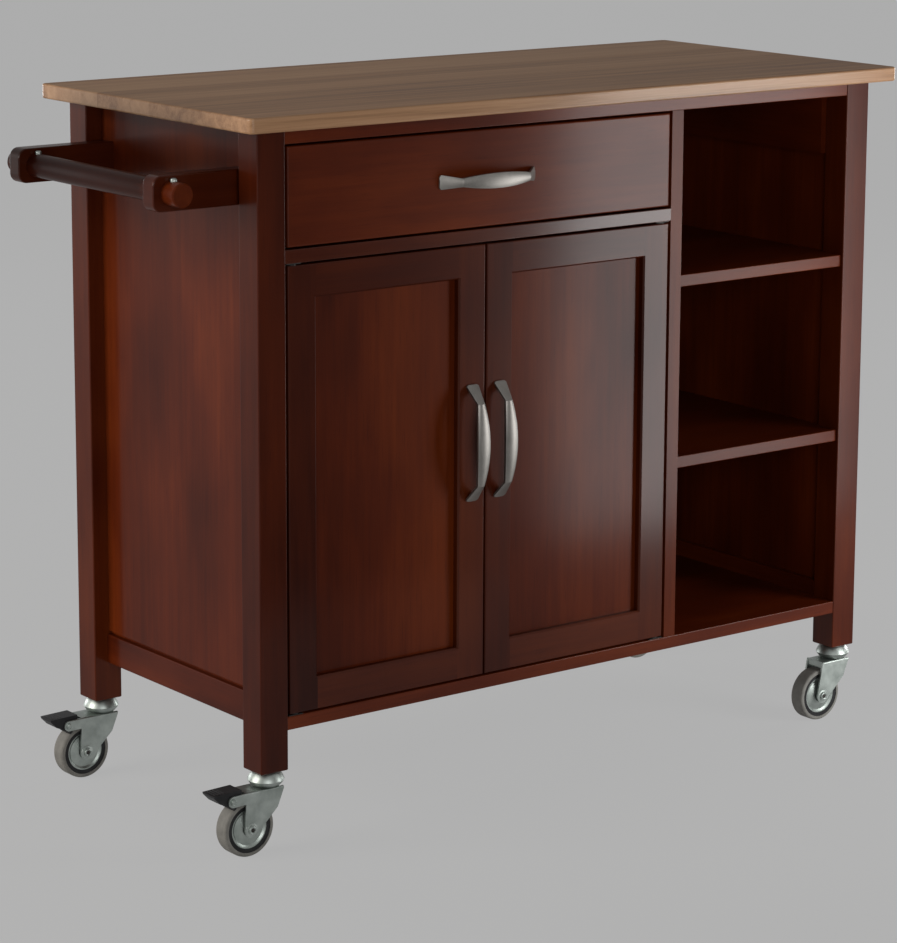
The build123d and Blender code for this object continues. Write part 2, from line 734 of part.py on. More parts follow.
def brake_pedal():
    """Foot pedal between the cheeks, with a shoe that bears on the tread when pressed."""
    x, z = pedal_pivot
    belly = (x - pedal_belly_reach, z)
    tip = (x - pedal_tip_reach, z + pedal_tip_rise)
    tip_low = (tip[0] + pedal_tip_rake, tip[1] - pedal_tip_depth)
    heel = (x + pedal_heel_reach, z + pedal_heel_rise)
    heel_low = (heel[0], heel[1] - pedal_heel_depth)
    outline = hulled((belly, tip_low, tip, heel, heel_low), ((x, z, pedal_body_radius),))
    reach = hypot(wheel_offset - x, axle_z - z)
    heading = atan2(axle_z - z, wheel_offset - x)
    span = reach - wheel_radius + shoe_overlap
    ends = [(x + span * cos(a), z + span * sin(a)) for a in (heading, heading - shoe_sweep)]
    shoe = make_face(Polyline((x, z), ends[0], ends[1], (x, z)))
    outline += shoe - Pos(wheel_offset, axle_z) * Circle(wheel_radius + shoe_gap)
    outline -= Pos(x, z) * Circle(pedal_pin_radius + running_clearance)
    half = fork_inside / 2 - pedal_play
    return on_side(outline, -half, half)


cups = []
for place, (caster_x, caster_y) in post_centres.items():
    at = Pos(caster_x, caster_y, z_foot)
    cups.append(at * caster_cup())
    save(f"fork_{place}", at * caster_fork(place in BRAKED))
    save(f"wheel_core_{place}", at * wheel_core())
    save(f"wheel_discs_{place}", *(at * disc for disc in wheel_discs()))
    save(f"tyre_{place}", at * tyre())
    if place in BRAKED:
        save(f"brake_pedal_{place}", at * brake_pedal())
save("caster_cups", *cups)
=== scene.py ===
# %% [markdown]
# # A kitchen cart
# The cart is a stained wood carcass on casters, with a light wood worktop, a drawer, a pair of
# framed doors, open shelves and a towel bar. Its solids are already built to size, so this lesson
# loads them, sets up a studio like the photograph's, gives every surface its finish, and adds the
# small fittings that are too fine for the solids.

# %% Load the cart
import json
import math

import bmesh
import bpy
from mathutils import Matrix, Vector


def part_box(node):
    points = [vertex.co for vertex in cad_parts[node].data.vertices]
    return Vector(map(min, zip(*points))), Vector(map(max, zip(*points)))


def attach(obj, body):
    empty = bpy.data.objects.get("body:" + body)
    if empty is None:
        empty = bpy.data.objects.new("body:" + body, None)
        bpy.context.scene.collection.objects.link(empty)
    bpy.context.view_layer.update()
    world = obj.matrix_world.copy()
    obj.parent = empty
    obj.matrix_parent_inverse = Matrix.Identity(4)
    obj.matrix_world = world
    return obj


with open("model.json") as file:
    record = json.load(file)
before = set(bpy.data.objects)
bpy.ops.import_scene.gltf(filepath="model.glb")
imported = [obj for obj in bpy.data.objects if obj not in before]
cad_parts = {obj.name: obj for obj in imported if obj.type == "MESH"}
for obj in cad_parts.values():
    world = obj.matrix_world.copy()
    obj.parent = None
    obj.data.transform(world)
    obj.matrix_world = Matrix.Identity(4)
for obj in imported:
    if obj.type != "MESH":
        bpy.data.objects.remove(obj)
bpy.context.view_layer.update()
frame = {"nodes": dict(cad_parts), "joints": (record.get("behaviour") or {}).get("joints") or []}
nodes = frame["nodes"]

# %% [markdown]
# ## Camera
# The photograph was taken from the left of the front, a little above the worktop, with a long lens
# that keeps the posts almost upright. The place, turn and lens below were solved from the corners
# of the worktop, posts and rails, so the render can be laid over the photograph. A small lens shift
# keeps the uprights upright, as the photographer's lens did.

# %% Camera
CAMERA_PLACE = (-2.4584, -3.2198, 1.2846)
CAMERA_TURN = (78.84, -0.236, -37.231)
SENSOR_WIDTH = 36.0
LENS = 125.28
LENS_SHIFT = -0.1

camera_data = bpy.data.cameras.new("camera")
camera_data.sensor_width = SENSOR_WIDTH
camera_data.lens = LENS
camera_data.shift_y = LENS_SHIFT
camera = bpy.data.objects.new("camera", camera_data)
camera.location = CAMERA_PLACE
camera.rotation_euler = [math.radians(angle) for angle in CAMERA_TURN]
bpy.context.scene.collection.objects.link(camera)
bpy.context.scene.camera = camera
print("camera", [round(v, 2) for v in camera.location], "lens", round(camera_data.lens, 1))

# %% [markdown]
# ## Shader helper
# A finish is a handful of nodes, and most of them are sums. Wrapping a socket in a small class lets
# a sum be written as a sum: `0.3 + 0.1 * streak` adds its two Math nodes by itself. Every other
# node comes from one method, which takes the node's type, its settings and its inputs.


# %% Shader helper
class Wire:
    """A shader socket that can be used in Python sums."""

    def __init__(self, finish, socket):
        self.finish = finish
        self.socket = socket

    def calc(self, operation, first, second):
        return self.finish.node("ShaderNodeMath", {"operation": operation}, {0: first, 1: second})

    def __add__(self, other):
        return self.calc("ADD", self, other)

    def __radd__(self, other):
        return self.calc("ADD", other, self)

    def __sub__(self, other):
        return self.calc("SUBTRACT", self, other)

    def __rsub__(self, other):
        return self.calc("SUBTRACT", other, self)

    def __mul__(self, other):
        return self.calc("MULTIPLY", self, other)

    def __rmul__(self, other):
        return self.calc("MULTIPLY", other, self)

    def __truediv__(self, other):
        return self.calc("DIVIDE", self, other)


class Finish:
    """A material whose nodes are added one call at a time."""

    def __init__(self, name, owner=None):
        self.material = owner or bpy.data.materials.new(name)
        self.material.use_nodes = True
        self.tree = self.material.node_tree
        self.tree.nodes.clear()

    def node(self, kind, settings=None, inputs=None, output=0):
        made = self.tree.nodes.new(kind)
        for key, value in (settings or {}).items():
            if key == "stops":
                ramp = made.color_ramp.elements
                while len(ramp) < len(value):
                    ramp.new(0.5)
                for element, (position, colour) in zip(ramp, value):
                    element.position = position
                    element.color = (*colour, 1.0)
            else:
                setattr(made, key, value)
        for key, value in (inputs or {}).items():
            if isinstance(value, Wire):
                self.tree.links.new(value.socket, made.inputs[key])
            else:
                made.inputs[key].default_value = value
        return Wire(self, made.outputs[output]) if made.outputs else None

    def place(self, scale=1.0):
        """The place on the object, scaled evenly by one number or along each axis by three."""
        spot = self.node("ShaderNodeTexCoord", output="Object")
        scales = scale if isinstance(scale, tuple) else (scale, scale, scale)
        return self.node("ShaderNodeMapping", {}, {"Vector": spot, "Scale": scales})

    def noise(self, vector, scale=1.0, detail=3.0, roughness=0.55, distortion=0.0):
        knobs = {"Vector": vector, "Scale": scale, "Detail": detail}
        knobs.update({"Roughness": roughness, "Distortion": distortion})
        return self.node("ShaderNodeTexNoise", {}, knobs)

    def spread(self, value, low, high):
        knobs = {"Value": value, "From Min": low, "From Max": high}
        return self.node("ShaderNodeMapRange", {"clamp": True}, knobs)

    def ramp(self, value, stops):
        return self.node("ShaderNodeValToRGB", {"stops": stops}, {"Fac": value})

    def blend(self, factor, first, second):
        settings = {"data_type": "RGBA", "blend_type": "MIX", "clamp_factor": True}
        return self.node("ShaderNodeMix", settings, {0: factor, 6: first, 7: second}, output=2)

    def bump(self, height, strength, distance):
        knobs = {"Height": height, "Strength": strength, "Distance": distance}
        return self.node("ShaderNodeBump", {}, knobs)

    def seen(self):
        """1 for rays from the camera, straight or by a mirror or glass, and 0 for the rest."""
        ways = ("Is Camera Ray", "Is Glossy Ray", "Is Transmission Ray")
        straight, mirrored, through = [self.node("ShaderNodeLightPath", output=way) for way in ways]
        return straight.calc("MAXIMUM", straight, straight.calc("MAXIMUM", mirrored, through))

    def surface(self, inputs):
        shader = self.node("ShaderNodeBsdfPrincipled", {}, inputs)
        self.node("ShaderNodeOutputMaterial", {}, {"Surface": shader})
        return self.material


print("helper ready")

# %% [markdown]
# ## Studio
# The photograph has a plain grey ground with hardly a shadow. Light comes from the left onto the
# end of the cart, more weakly from the front, and a tall panel close by at the right leaves a soft
# pale sheen on the right half of the drawer and doors. Little comes from above, so the worktop
# looks darker than its edges. Rays that come from the camera, straight or by way of metal, see the
# floor and the world as one steady grey; a small share of the floor stays matt, so it still takes
# the shadow. That pale ground would lie as a veil on the lacquer, so a black flag stands beside the
# sheen panel: the doors mirror the flag and keep their deep red, and the pulls get dark sides. A
# second, small flag keeps the light from the left off the wall behind the towel bar.

# %% Floor and world
PALE_GREY = 0.455
SKY_GLOW = 0.1
STEADY_SHARE = 0.9
FLOOR_HALF = 40.0


def make_floor():
    shape = bmesh.new()
    bmesh.ops.create_grid(shape, x_segments=1, y_segments=1, size=FLOOR_HALF)
    mesh = bpy.data.meshes.new("floor")
    shape.to_mesh(mesh)
    shape.free()
    floor = bpy.data.objects.new("floor", mesh)
    bpy.context.scene.collection.objects.link(floor)
    finish = Finish("studio_floor")
    grain = finish.noise(finish.place(), scale=3.0, detail=2.0)
    paint = finish.ramp(grain, ((0.3, (0.6, 0.6, 0.6)), (0.7, (0.62, 0.62, 0.62))))
    matt = finish.node("ShaderNodeBsdfDiffuse", {}, {"Color": paint})
    grey = (PALE_GREY, PALE_GREY, PALE_GREY, 1)
    steady = finish.node("ShaderNodeEmission", {}, {"Color": grey, "Strength": 1.0})
    share = STEADY_SHARE * finish.seen()
    mixed = finish.node("ShaderNodeMixShader", {}, {0: share, 1: matt, 2: steady})
    finish.node("ShaderNodeOutputMaterial", {}, {"Surface": mixed})
    mesh.materials.append(finish.material)
    return floor


def light_world():
    world = bpy.data.worlds.new("studio")
    bpy.context.scene.world = world
    finish = Finish("studio_world", world)
    glow = SKY_GLOW + (PALE_GREY - SKY_GLOW) * finish.seen()
    sky = finish.node("ShaderNodeBackground", {}, {"Color": (1, 1, 1, 1), "Strength": glow})
    finish.node("ShaderNodeOutputWorld", {}, {"Surface": sky})
    return world


floor = make_floor()
world = light_world()
bpy.context.scene.view_settings.view_transform = "Standard"
print("floor", floor.name, "world", world.name)


# %% Light panels
def light_panel(name, place, target, width, height, power, colour=(1.0, 1.0, 1.0)):
    lamp = bpy.data.lights.new(name, "AREA")
    lamp.shape = "RECTANGLE"
    lamp.size = width
    lamp.size_y = height
    lamp.energy = power
    lamp.color = colour
    panel = bpy.data.objects.new(name, lamp)
    aim = (Vector(target) - Vector(place)).to_track_quat("-Z", "Y")
    panel.matrix_world = Matrix.Translation(place) @ aim.to_matrix().to_4x4()
    panel.visible_camera = False
    bpy.context.scene.collection.objects.link(panel)
    return panel


WARM = (1.0, 0.96, 0.9)
panels = [
    light_panel("left_panel", (-3.2, 0.7, 1.5), (-0.4, 0.0, 0.45), 2.0, 1.6, 78, WARM),
    light_panel("front_panel", (-1.6, -3.8, 1.2), (0.1, 0.0, 0.5), 2.0, 1.4, 43),
    light_panel("sheen_panel", (0.97, -1.02, 0.42), (0.97, -0.2, 0.42), 0.56, 0.75, 12.5),
    light_panel("right_panel", (4.2, 0.5, 0.8), (0.5, 0.0, 0.45), 1.6, 1.2, 50),
    light_panel("rear_panel", (-1.0, 4.2, 0.8), (0.0, 0.2, 0.45), 2.0, 1.2, 50),
]
print([panel.name for panel in panels])


# %% Black flags
def black_flag(name, place, width, height, turn, shades):
    """An upright board of black felt, unseen by the camera, that either shades or is mirrored."""
    shape = bmesh.new()
    stand = Matrix.Rotation(math.radians(turn), 4, "Z") @ Matrix.Rotation(math.radians(90), 4, "X")
    size = Matrix.Diagonal((width, height, 1.0, 1.0))
    bmesh.ops.create_grid(
        shape, x_segments=1, y_segments=1, size=0.5, matrix=Matrix.Translation(place) @ stand @ size
    )
    mesh = bpy.data.meshes.new(name)
    shape.to_mesh(mesh)
    shape.free()
    finish = Finish("black_felt")
    nap = finish.noise(finish.place(300.0), detail=2.0)
    felt = finish.ramp(nap, ((0.3, (0.006, 0.006, 0.006)), (0.7, (0.014, 0.014, 0.014))))
    matt = {"Base Color": felt, "Roughness": 1.0, "Specular IOR Level": 0.0}
    mesh.materials.append(finish.surface(matt))
    flag = bpy.data.objects.new(name, mesh)
    flag.visible_camera = False
    flag.visible_shadow = shades
    flag.visible_glossy = not shades
    bpy.context.scene.collection.objects.link(flag)
    return flag


flags = [
    black_flag("mirror_flag", (0.22, -1.02, 0.42), 0.9, 0.8, 0, False),
    black_flag("towel_bar_flag", (-0.6, 0.05, 0.832), 0.32, 0.14, 90, True),
]
print([flag.name for flag in flags])

# %% [markdown]
# ## Stained wood
# The carcass is a close-grained wood under a dark reddish stain and a clear gloss lacquer. Up close
# there are three scales: slow clouds where the stain took unevenly, streaks that run along the
# board, and short dark pores. Stretching a noise texture along the grain gives streaks and pores,
# and one finish is made for each grain direction, so that a rail's grain runs along the rail and a
# stile's runs up the stile. The posts took more stain than the flat boards and the frames of the
# doors more still. The door panels, the shelves and the towel bar have a thinner lacquer, and the
# rail between drawer and doors a thicker one, so depth and gloss are given apart.

# %% Stained wood
# Repeats per metre, along and across the grain.
CLOUDS, STREAKS, PORES = (3.0, 8.0), (4.0, 110.0), (30.0, 800.0)
# Linear colours at three tones, before the depth of the stain darkens them.
STAIN = (
    (0.3, (0.036, 0.0046, 0.001)),
    (0.5, (0.078, 0.0108, 0.0016)),
    (0.7, (0.132, 0.022, 0.003)),
)
PORE_COLOUR = (0.014, 0.002, 0.001, 1)


def along_grain(grain, along, across):
    """A scale for the three axes that stretches a pattern along the grain."""
    return tuple(along if axis == grain else across for axis in "XYZ")


def stained_wood(grain, name="stained_wood", depth=1.0, gloss=0.24):
    finish = Finish(f"{name}_{grain.lower()}")
    lanes = [finish.place(along_grain(grain, *pattern)) for pattern in (CLOUDS, STREAKS, PORES)]
    cloud = finish.noise(lanes[0], detail=3.0, roughness=0.5)
    streak = finish.noise(lanes[1], detail=4.0, roughness=0.6, distortion=0.4)
    fine = finish.noise(lanes[2], detail=2.0)
    pore = finish.spread(fine, 0.6, 0.74)
    tone = 0.76 * cloud + 0.24 * streak
    stops = [(stop, [depth * part for part in colour]) for stop, colour in STAIN]
    colour = finish.blend(0.3 * pore, finish.ramp(tone, stops), PORE_COLOUR)
    rough = 0.34 + 0.16 * cloud + 0.08 * streak
    relief = finish.bump(streak - 0.5 * pore, 0.1, 0.0003)
    return finish.surface(
        {
            "Base Color": colour,
            "Roughness": rough,
            "Normal": relief,
            "Specular IOR Level": 0.04,
            "Coat Weight": gloss + (0.6 * gloss) * cloud,
            "Coat Roughness": 0.17,
            "Coat IOR": 1.45,
        }
    )


wood = {grain: stained_wood(grain) for grain in "XYZ"}
# The door frames' darker stain is also put on the towel arms, where it is painted shade for the
# shade they hang in at the end of the cart.
frame_stain_and_shade = {grain: stained_wood(grain, "stained_frame_and_shade", 0.62, 0.26) for grain in "XZ"}
satin_wood = {grain: stained_wood(grain, "satin_wood", 0.88, 0.14) for grain in "XYZ"}
post_wood = stained_wood("Z", "post_wood", 0.76)
glossy_wood = stained_wood("X", "glossy_wood", 0.62, 0.48)
stained = (*wood.values(), *frame_stain_and_shade.values(), *satin_wood.values(), post_wood, glossy_wood)
print([material.name for material in stained])

# %% [markdown]
# ## Worktop
# The top is pale wood in long staves glued edge to edge, under a satin oil finish. The stave number
# comes from the distance across the top, cut into strips, and a noise that only sees that number
# gives each stave its own tone. Long brown streaks run the whole length. The top is nearly matt,
# and only the edges, where the finish runs and gathers, have a clear coat, so the coat follows the
# surface's own direction.


# %% Worktop
STAVE_WIDTH, STAVE_START, STAVE_SHIFT = 0.057, 0.3, 9.0
EDGE_COAT = 0.45


def worktop_wood():
    finish = Finish("worktop_wood")
    spot = finish.node("ShaderNodeTexCoord", output="Object")
    across = finish.node("ShaderNodeSeparateXYZ", {}, {0: spot}, output="Y")
    count = across / STAVE_WIDTH + STAVE_START
    strip = finish.node("ShaderNodeMath", {"operation": "FLOOR"}, {0: count})
    stave = finish.node("ShaderNodeTexWhiteNoise", {"noise_dimensions": "1D"}, {"W": strip})
    along = finish.place((2.2, 75.0, 75.0))
    shifted = finish.node("ShaderNodeCombineXYZ", {}, {0: STAVE_SHIFT * stave, 1: 0.0, 2: 0.0})
    lane = finish.node("ShaderNodeVectorMath", {"operation": "ADD"}, {0: along, 1: shifted})
    streak = finish.noise(lane, detail=5.0, roughness=0.62, distortion=0.6)
    fine = finish.noise(finish.place((14.0, 700.0, 700.0)), detail=3.0)
    tone = 0.62 * streak + 0.2 * fine + 0.18 * stave
    stops = (
        (0.3, (0.2, 0.1, 0.047)),
        (0.48, (0.365, 0.2, 0.103)),
        (0.7, (0.48, 0.29, 0.165)),
    )
    colour = finish.ramp(tone, stops)
    relief = finish.bump(streak + 0.5 * fine, 0.1, 0.0005)
    normal = finish.node("ShaderNodeTexCoord", output="Normal")
    upward = finish.node("ShaderNodeSeparateXYZ", {}, {0: normal}, output="Z")
    return finish.surface(
        {
            "Base Color": colour,
            "Roughness": 0.46 + 0.16 * streak,
            "Normal": relief,
            "Specular IOR Level": 0.12,
            "Coat Weight": EDGE_COAT - EDGE_COAT * upward * upward,
            "Coat Roughness": 0.2,
        }
    )


worktop = worktop_wood()
print(worktop.name)

# %% [markdown]
# ## Metals, plastic and rubber
# The pulls are satin nickel, brushed along their length. The casters and small fittings are bright
# zinc plate, which is cooler and a little cloudy. The pedals and wheel centres are moulded black
# plastic with a fine texture, the treads grey rubber, and the drawer runners are coated in grey
# enamel.


# %% Metals
def brushed_nickel(grain):
    finish = Finish(f"brushed_nickel_{grain.lower()}")
    brush = finish.noise(finish.place(along_grain(grain, 30.0, 2400.0)), detail=2.0)
    smudge = finish.noise(finish.place(45.0), detail=3.0)
    tone = 0.5 * brush + 0.5 * smudge
    colour = finish.ramp(tone, ((0.3, (0.19, 0.18, 0.166)), (0.7, (0.29, 0.275, 0.256))))
    relief = finish.bump(brush, 0.08, 0.0002)
    rough = 0.36 + 0.12 * brush + 0.06 * smudge
    return finish.surface(
        {"Base Color": colour, "Metallic": 1.0, "Roughness": rough, "Normal": relief}
    )


def zinc_plate():
    finish = Finish("zinc_plate")
    cloud = finish.noise(finish.place(60.0), detail=4.0)
    speck = finish.noise(finish.place(900.0), detail=2.0)
    colour = finish.ramp(cloud, ((0.3, (0.27, 0.3, 0.28)), (0.7, (0.4, 0.435, 0.41))))
    rough = 0.32 + 0.14 * cloud + 0.06 * speck
    relief = finish.bump(speck, 0.05, 0.0002)
    return finish.surface(
        {"Base Color": colour, "Metallic": 1.0, "Roughness": rough, "Normal": relief}
    )


def blackened_steel():
    finish = Finish("blackened_steel")
    cloud = finish.noise(finish.place(80.0), detail=4.0)
    colour = finish.ramp(cloud, ((0.3, (0.016, 0.014, 0.013)), (0.7, (0.045, 0.04, 0.036))))
    relief = finish.bump(cloud, 0.05, 0.0002)
    rough = 0.4 + 0.15 * cloud
    return finish.surface(
        {"Base Color": colour, "Metallic": 0.7, "Roughness": rough, "Normal": relief}
    )


nickel = {grain: brushed_nickel(grain) for grain in "XZ"}
# Blackened steel for the pivot pins, fittings and small screws; the same dark finish is painted
# shade in the eyes of the axle rivets, for their deep holes.
zinc, dark_steel_and_shade = zinc_plate(), blackened_steel()
print([material.name for material in (*nickel.values(), zinc, dark_steel_and_shade)])


# %% Plastic, rubber and enamel
def black_plastic():
    finish = Finish("black_plastic")
    pebble = finish.noise(finish.place(1400.0), detail=1.0)
    scuff = finish.noise(finish.place(70.0), detail=4.0)
    colour = finish.ramp(scuff, ((0.35, (0.009, 0.009, 0.01)), (0.75, (0.024, 0.024, 0.025))))
    relief = finish.bump(pebble, 0.18, 0.0002)
    rough = 0.42 + 0.14 * scuff
    return finish.surface(
        {"Base Color": colour, "Roughness": rough, "Normal": relief, "Specular IOR Level": 0.2}
    )


def grey_rubber():
    finish = Finish("grey_rubber")
    dust = finish.noise(finish.place(90.0), detail=4.0)
    crumb = finish.noise(finish.place(1100.0), detail=2.0)
    colour = finish.ramp(dust, ((0.3, (0.125, 0.12, 0.108)), (0.75, (0.19, 0.183, 0.166))))
    relief = finish.bump(crumb, 0.2, 0.0003)
    rough = 0.66 + 0.15 * dust
    return finish.surface({"Base Color": colour, "Roughness": rough, "Normal": relief})


def grey_enamel():
    finish = Finish("grey_enamel")
    peel = finish.noise(finish.place(320.0), detail=2.0)
    colour = finish.ramp(peel, ((0.3, (0.3, 0.3, 0.3)), (0.7, (0.36, 0.36, 0.355))))
    relief = finish.bump(peel, 0.08, 0.0003)
    rough = 0.38 + 0.08 * peel
    return finish.surface({"Base Color": colour, "Roughness": rough, "Normal": relief})


def drawer_ply():
    finish = Finish("drawer_ply")
    streak = finish.noise(finish.place((110.0, 6.0, 40.0)), detail=4.0, distortion=0.5)
    cloud = finish.noise(finish.place(5.0), detail=2.0)
    tone = 0.6 * streak + 0.4 * cloud
    colour = finish.ramp(tone, ((0.3, (0.05, 0.016, 0.009)), (0.7, (0.13, 0.045, 0.022))))
    relief = finish.bump(streak, 0.1, 0.0004)
    rough = 0.45 + 0.15 * streak
    return finish.surface({"Base Color": colour, "Roughness": rough, "Normal": relief})


plastic, rubber, enamel, ply = black_plastic(), grey_rubber(), grey_enamel(), drawer_ply()
print([material.name for material in (plastic, rubber, enamel, ply)])

# %% [markdown]
# ## Dressing the solids
# Each solid takes the finish of what it is made of. The wooden ones also need their grain
# direction, which is simply the way the board is longest.

# %% Dressing the solids
GRAIN_X = (
    "front_top_rail rear_top_rail rear_bottom_rail bottom_board cabinet_shelf drawer_front"
).split()
GRAIN_Y = "side_rails top_cleats".split()


def finish_for(name):
    if name == "top_board":
        return worktop
    if name.endswith("_pull"):
        return nickel["X" if name == "drawer_pull" else "Z"]
    if name.startswith("tyre"):
        return rubber
    if name.startswith(("wheel_core", "brake_pedal")) or name == "door_catch":
        return plastic
    if name in ("drawer_runners", "drawer_slides"):
        return enamel
    if name in ("drawer_sides", "drawer_back", "drawer_bottom"):
        return ply
    if name == "door_pivot_pins" or name.endswith("_fittings"):
        return dark_steel_and_shade
    if name.startswith(("fork", "wheel_discs")) or name.endswith(("_pins", "_cups")):
        return zinc
    if name.startswith("post_"):
        return post_wood
    if name == "mid_rail":
        return glossy_wood
    # The towel arms take the darker frame stain as painted shade.
    if name == "towel_arms" or name.endswith("door_rails"):
        return frame_stain_and_shade["X"]
    if name == "towel_dowel":
        return satin_wood["Y"]
    if name.endswith("door_stiles"):
        return frame_stain_and_shade["Z"]
    if name == "divider" or name.endswith("door_panel"):
        return satin_wood["Z"]
    if name == "open_shelves":
        return satin_wood["X"]
    if name in GRAIN_X:
        return wood["X"]
    return wood["Y" if name in GRAIN_Y else "Z"]


for name, node in nodes.items():
    node.data.materials.clear()
    node.data.materials.append(finish_for(name))
print(len(nodes), "solids dressed")

# %% [markdown]
# ## Small fittings
# What holds the cart together is too fine for the solids: the screws of the back panel, runners,
# pulls and catch, the caps over unused holes, the rolled rivets and washers of the casters and the
# grip ribs of the pedals. Each round kind is modelled once about its own axis, standing on Z = 0,
# and stamped wherever the cart needs it. A face extruded and scaled a few times gives any round,
# stepped shape, so one helper makes them all.


# %% Shape helpers
def raise_face(shape, face, rise, share):
    """Extrude one face along Z and scale its copy about the axis.

    The edges go in with the face, so that the old face is taken away and no lid is left inside.
    """
    made = bmesh.ops.extrude_face_region(shape, geom=[face, *face.edges])["geom"]
    corners = [part for part in made if isinstance(part, bmesh.types.BMVert)]
    bmesh.ops.translate(shape, verts=corners, vec=(0, 0, rise))
    bmesh.ops.scale(shape, verts=corners, vec=(share, share, 1))
    return next(part for part in made if isinstance(part, bmesh.types.BMFace))


def round_blank(radius, sides, turn=0.0):
    """A flat disc on Z = 0 and the face that the next step raises."""
    shape = bmesh.new()
    spin = Matrix.Rotation(math.radians(turn), 4, "Z")
    bmesh.ops.create_circle(shape, cap_ends=True, segments=sides, radius=radius, matrix=spin)
    shape.faces.ensure_lookup_table()
    return shape, shape.faces[0]


def as_pattern(shape, name):
    """Keep a small shape as a mesh to stamp from."""
    bmesh.ops.recalc_face_normals(shape, faces=shape.faces)
    pattern = bpy.data.meshes.new(name)
    shape.to_mesh(pattern)
    shape.free()
    return pattern


def stamp(pattern, places):
    """Copies of a pattern at (point, facing) places, its Z axis turned the way it faces."""
    shape = bmesh.new()
    for point, facing in places:
        known = len(shape.verts)
        shape.from_mesh(pattern)
        shape.verts.ensure_lookup_table()
        turn = Vector(facing).to_track_quat("Z", "Y").to_matrix().to_4x4()
        move = Matrix.Translation(point) @ turn
        bmesh.ops.transform(shape, matrix=move, verts=shape.verts[known:])
    return shape


def rounded_boxes(middles, size, bevel, segments):
    """Boxes of one size with rounded edges."""
    shape = bmesh.new()
    for middle in middles:
        move = Matrix.Translation(middle) @ Matrix.Diagonal((*size, 1.0))
        bmesh.ops.create_cube(shape, size=1.0, matrix=move)
    bmesh.ops.bevel(
        shape,
        geom=shape.edges[:],
        offset=bevel,
        segments=segments,
        profile=0.5,
        affect="EDGES",
        material=-1,
    )
    return shape


def add_piece(name, shape, finish, body):
    """Make a finished piece of a shape and let it ride on a body."""
    mesh = bpy.data.meshes.new(name)
    shape.to_mesh(mesh)
    shape.free()
    mesh.materials.append(finish)
    piece = bpy.data.objects.new(name, mesh)
    bpy.context.scene.collection.objects.link(piece)
    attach(piece, body)
    return piece


print("shape helpers ready")


# %% Patterns
def screw_head(radius, height, name):
    """A domed head. Its top ring is pulled in on the diagonals to a cross, which is then sunk."""
    pulled_in, nearly_equal = 0.36, 0.01 * radius
    shape, face = round_blank(radius, 12, 15.0)
    for rise, share in ((0.4, 0.97), (0.35, 0.86), (0.25, 0.78)):
        face = raise_face(shape, face, rise * height, share)
    face = raise_face(shape, face, 0.0, 0.88)
    for corner in face.verts:
        if abs(abs(corner.co.x) - abs(corner.co.y)) < nearly_equal:
            corner.co.x *= pulled_in
            corner.co.y *= pulled_in
    raise_face(shape, face, -0.5 * height, 0.8)
    return as_pattern(shape, name)


def hole_cap(radius, height, name):
    """A low domed cap with a stepped rim."""
    shape, face = round_blank(radius, 20)
    for rise, share in ((0.4, 0.98), (0.1, 0.88), (0.3, 0.82), (0.2, 0.6)):
        face = raise_face(shape, face, rise * height, share)
    return as_pattern(shape, name)


def rolled_rim(radius, height, name):
    """The curled end of a hollow rivet, open in the middle."""
    shape, face = round_blank(radius, 24)
    outside, inside = ((0.45, 0.97), (0.4, 0.92), (0.15, 0.88)), ((-0.15, 0.9), (-0.7, 0.94))
    for rise, share in (*outside, *inside):
        face = raise_face(shape, face, rise * height, share)
    return as_pattern(shape, name)


MM = 0.001
wood_screw = screw_head(3.6 * MM, 1.7 * MM, "wood_screw")
pull_screw = screw_head(4.2 * MM, 2.1 * MM, "pull_screw")
small_screw = screw_head(1.5 * MM, 0.4 * MM, "small_screw")
runner_screw = screw_head(3.2 * MM, 1.1 * MM, "runner_screw")
pin_hole_cap = hole_cap(4.0 * MM, 0.8 * MM, "pin_hole_cap")
cam_cap = hole_cap(8.5 * MM, 1.1 * MM, "cam_cap")
axle_rim = rolled_rim(4.9 * MM, 0.9 * MM, "axle_rim")
washer = hole_cap(8.6 * MM, 0.9 * MM, "washer")
pivot_rim = rolled_rim(3.2 * MM, 0.7 * MM, "pivot_rim")
# A dark disc laid in the hollow of a rivet, as painted shade for its deep hole.
painted_shade_spot = hole_cap(2.7 * MM, 0.35 * MM, "painted_shade_spot")
screws, caps = (wood_screw, pull_screw, small_screw, runner_screw), (pin_hole_cap, cam_cap, washer)
print([mesh.name for mesh in (*screws, *caps, axle_rim, pivot_rim, painted_shade_spot)])

# %% [markdown]
# ## Screws and caps of the carcass
# The back panel is screwed to the rear rail, the divider and the open shelves. Inside, each runner
# has three low screws in its channel, the unused shelf-pin holes and the fasteners under the
# shelves are covered by caps, the small pivot plates of the doors have a screw at each end, and the
# catch has a screw and the poles of its two magnets.

# %% Screws and caps of the carcass
BACKWARD, FORWARD, DOWN, UP = (0, 1, 0), (0, -1, 0), (0, 0, -1), (0, 0, 1)
RIGHTWARD, LEFTWARD = (1, 0, 0), (-1, 0, 0)


def between(low, high, count, margin):
    """Evenly spread values, the first and last a margin in from the ends."""
    step = (high - low - 2 * margin) / (count - 1)
    return [low + margin + step * index for index in range(count)]


